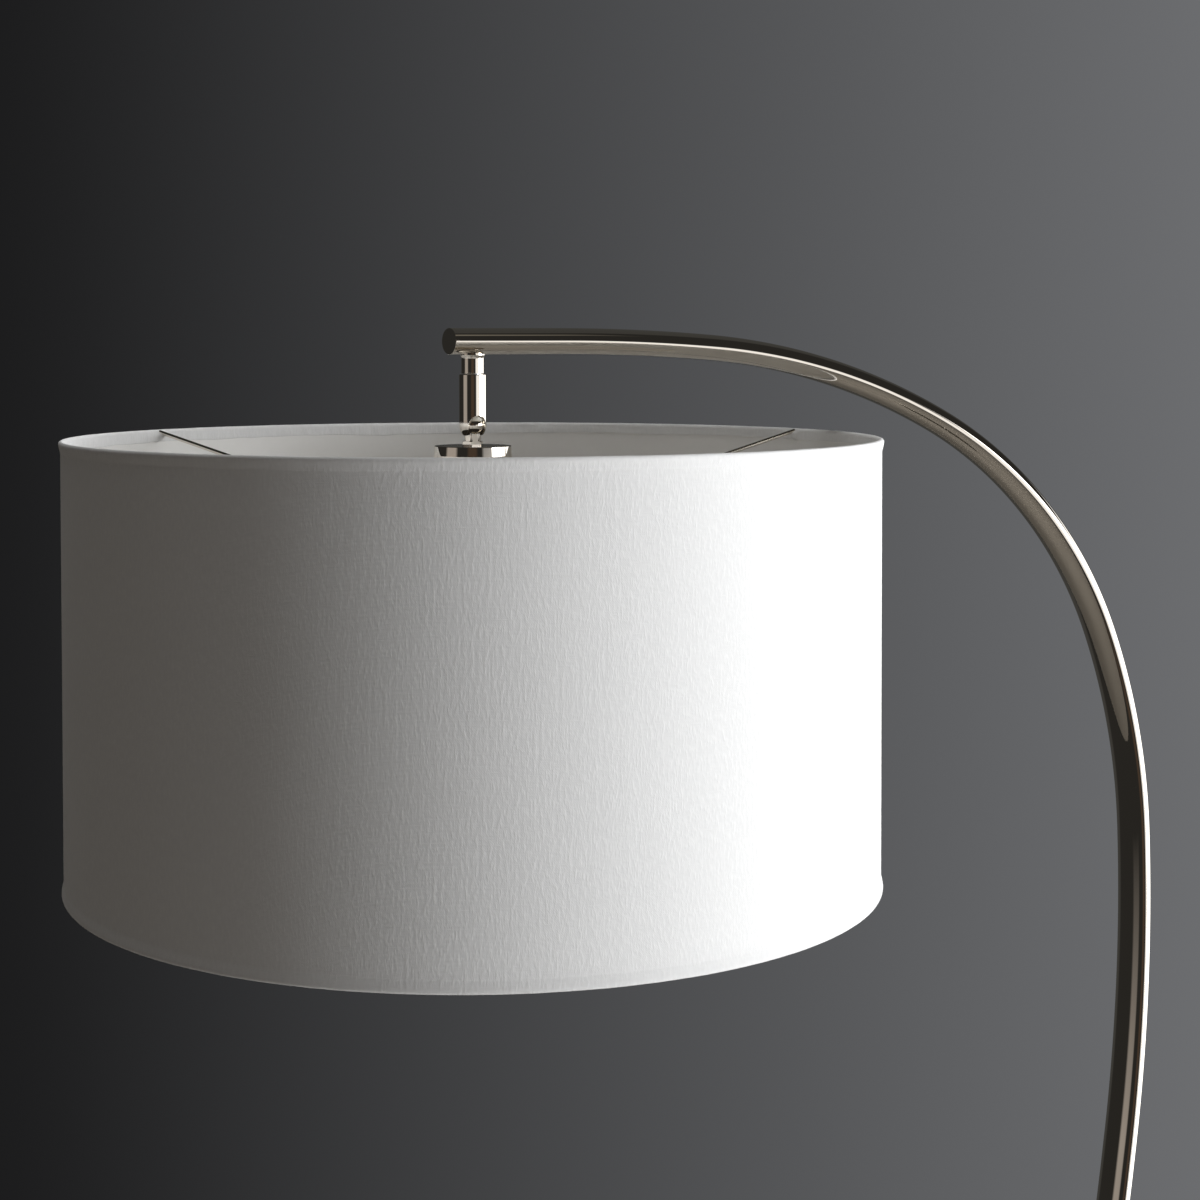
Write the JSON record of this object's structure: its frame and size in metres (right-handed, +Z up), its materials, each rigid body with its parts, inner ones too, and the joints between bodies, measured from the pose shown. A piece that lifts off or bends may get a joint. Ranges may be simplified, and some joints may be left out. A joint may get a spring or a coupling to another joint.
{
  "type": "arc floor lamp",
  "caption": "Arc floor lamp: round weighted base, leaning oval tube that curves over, and a white drum shade hung from a slotted ball swivel.",
  "frame": {"origin": "centre of the base's underside, on the floor", "axes": "+Z up; the arc lies in the XZ plane, the pole bows out to +X and the shade hangs on the -X side"},
  "size_m": [0.6763, 0.4576, 1.676],
  "materials": {
    "polished_nickel": "polished nickel plate, mirror bright",
    "cast_iron": "as cast, black primer",
    "zinc_steel": "zinc plated",
    "brass": "plain brass",
    "nylon": "moulded nylon",
    "black_phenolic": "moulded phenolic",
    "black_rubber": "matt rubber",
    "black_pvc": "flexible PVC sheath",
    "white_linen": "plain-weave slubbed cloth",
    "white_styrene": "stiff white backing sheet"
  },
  "bodies": {
    "stand": {"base_pad": "black_rubber", "base_weight": "cast_iron", "base_cover": "polished_nickel", "inlet_bushing": "black_rubber", "lead_connector": "nylon", "pole_foot": "polished_nickel", "foot_bolts": "zinc_steel", "foot_washers": "zinc_steel", "foot_grub_screws": "zinc_steel", "lower_pole": "polished_nickel", "pole_joiner": "zinc_steel", "joiner_grub_screws": "zinc_steel", "arm_tube": "polished_nickel", "arm_end_cap": "polished_nickel", "swivel_collar": "polished_nickel", "saddle_washer": "zinc_steel", "hanger_nipple": "zinc_steel", "nipple_nut": "zinc_steel", "nipple_flange": "zinc_steel", "inner_lead": "black_pvc"},
    "swivel": {"swivel_sleeve": "polished_nickel", "sleeve_plug": "zinc_steel", "friction_washer": "brass", "ball_seat": "nylon", "seat_spring": "zinc_steel"},
    "head": {"swivel_ball": "polished_nickel", "ball_lock_nut": "polished_nickel", "socket_cup": "polished_nickel", "cup_nut": "zinc_steel", "switch_body": "black_phenolic", "socket_body": "black_phenolic", "screw_shell": "brass", "centre_contact": "brass", "socket_screws": "brass", "socket_lead": "black_pvc", "shade_ring_nut": "black_phenolic", "spider": "polished_nickel", "top_ring": "zinc_steel", "bottom_ring": "zinc_steel", "shade_lining": "white_styrene", "shade_fabric": "white_linen", "top_hem": "white_linen", "bottom_hem": "white_linen"},
    "knob": {"switch_shaft": "brass", "switch_knob": "black_phenolic"}
  },
  "joints": [
    {"name": "swivel_turn", "type": "hinge", "parent": "stand", "child": "swivel", "pos_m": [-0.23563, 0, 1.6502], "axis": [0, 0, 1], "range_deg": [-170, 170]},
    {"name": "shade_tilt", "type": "hinge", "parent": "swivel", "child": "head", "pos_m": [-0.23563, 0, 1.6211], "axis": [-0.9903, -0.1392, 0], "range_deg": [0, 25]},
    {"name": "switch_turn", "type": "hinge", "parent": "head", "child": "knob", "pos_m": [-0.23563, 0, 1.592], "axis": [0, -1, 0], "continuous": true}
  ]
}
